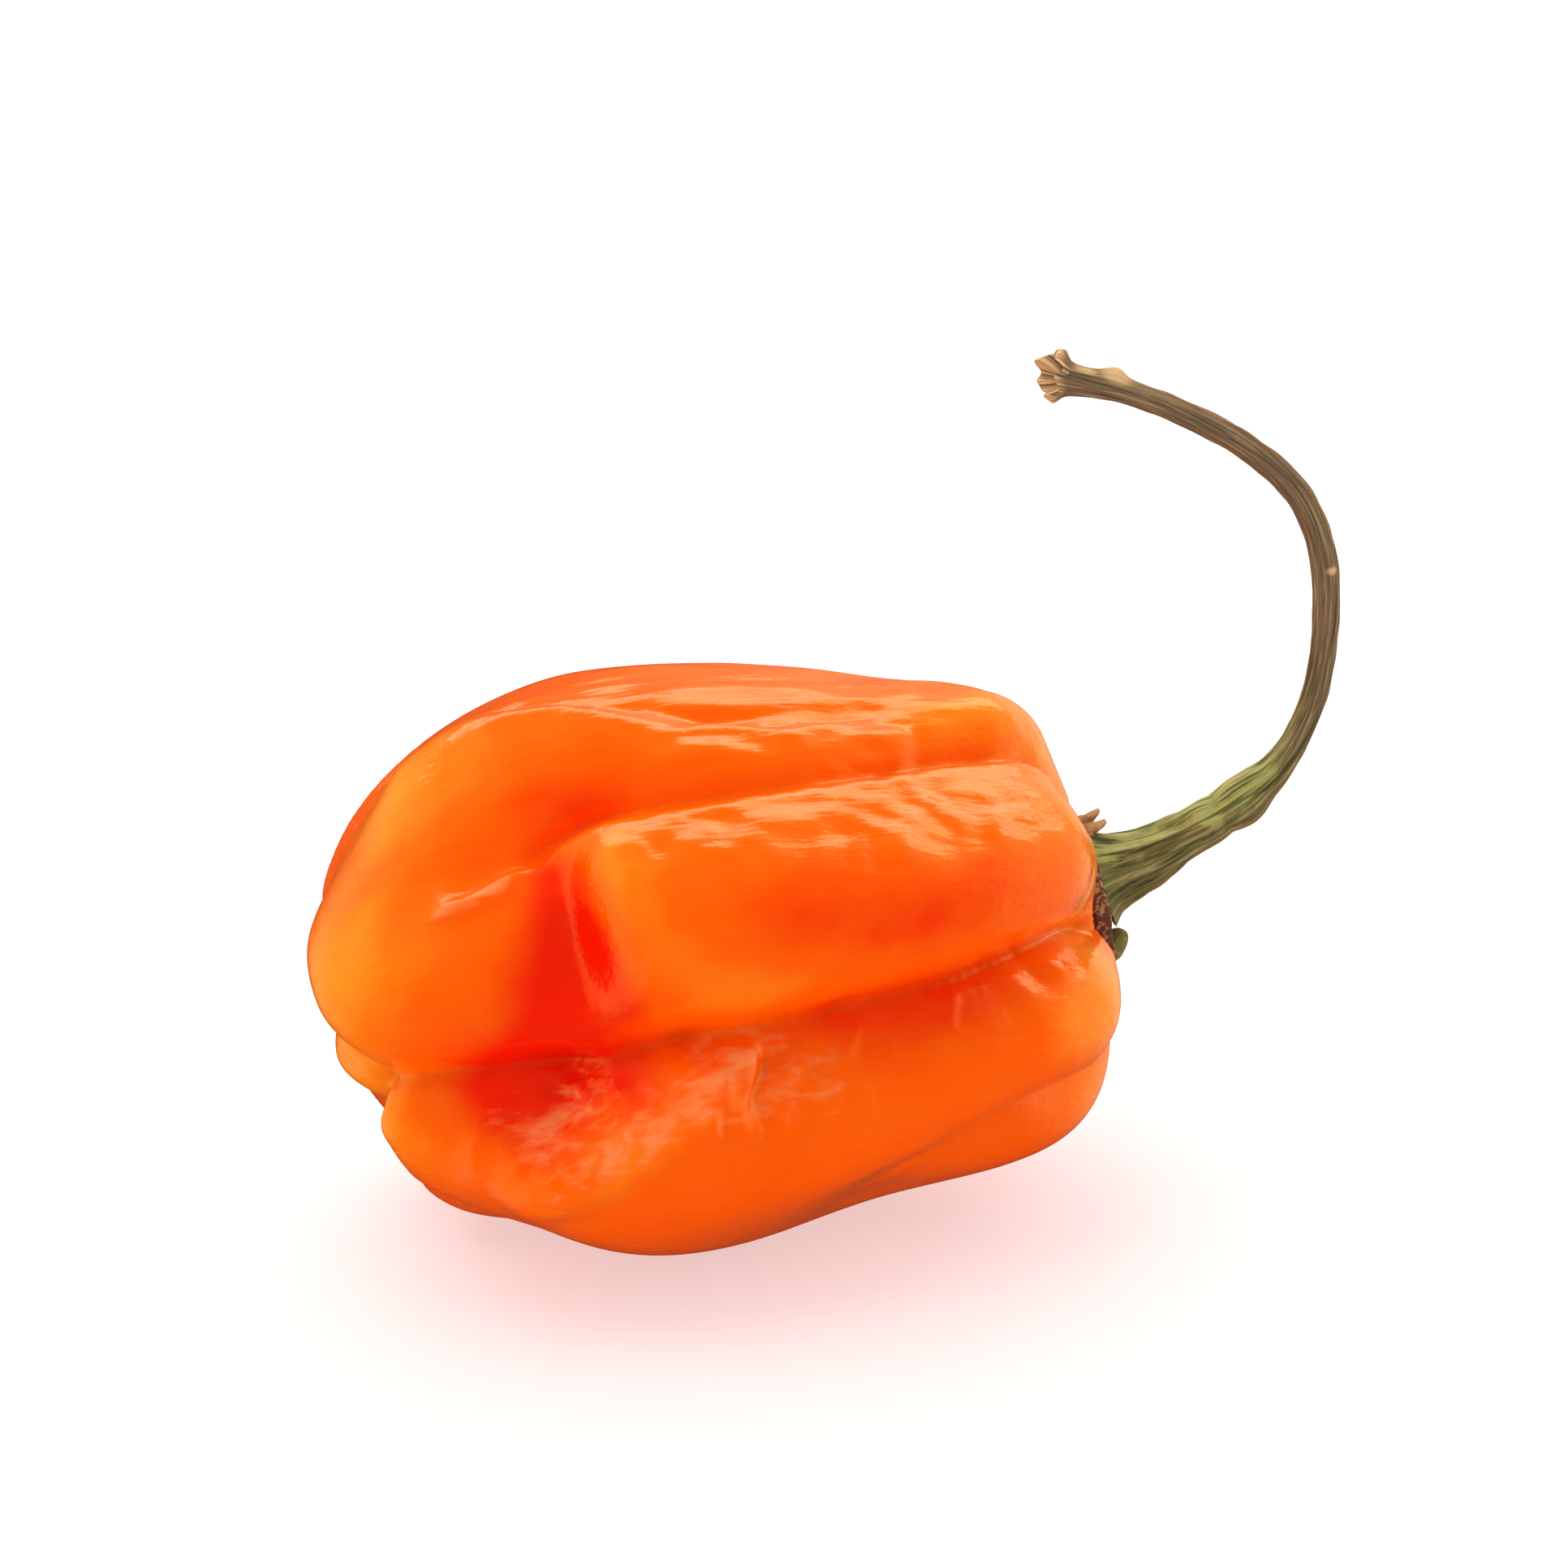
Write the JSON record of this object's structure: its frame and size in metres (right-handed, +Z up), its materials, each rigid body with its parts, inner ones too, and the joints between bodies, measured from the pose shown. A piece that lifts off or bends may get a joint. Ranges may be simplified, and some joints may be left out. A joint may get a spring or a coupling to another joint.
{
  "type": "chilli pepper",
  "caption": "Picked orange habanero chilli lying on its side: a lobed glossy pod, a dry brown calyx and a curved olive stem with a torn tip",
  "frame": {"origin": "on the surface the chilli rests on, at the flat spot under the pod", "axes": "+X from the blossom end towards the stem end, +Y to the back of the pod, +Z up"},
  "size_m": [0.061, 0.0338, 0.0485],
  "materials": {
    "orange_skin": "taut waxy skin, glossy, deeper red in the hollows",
    "dry_calyx": "dry, rough, crumbling brown rim with tan lobes",
    "stem_bark": "ribbed fibrous skin, olive green at the pod and grey brown at the tip"
  },
  "bodies": {
    "root": {"pod": "orange_skin", "calyx": "dry_calyx", "stem": "stem_bark"}
  },
  "joints": []
}
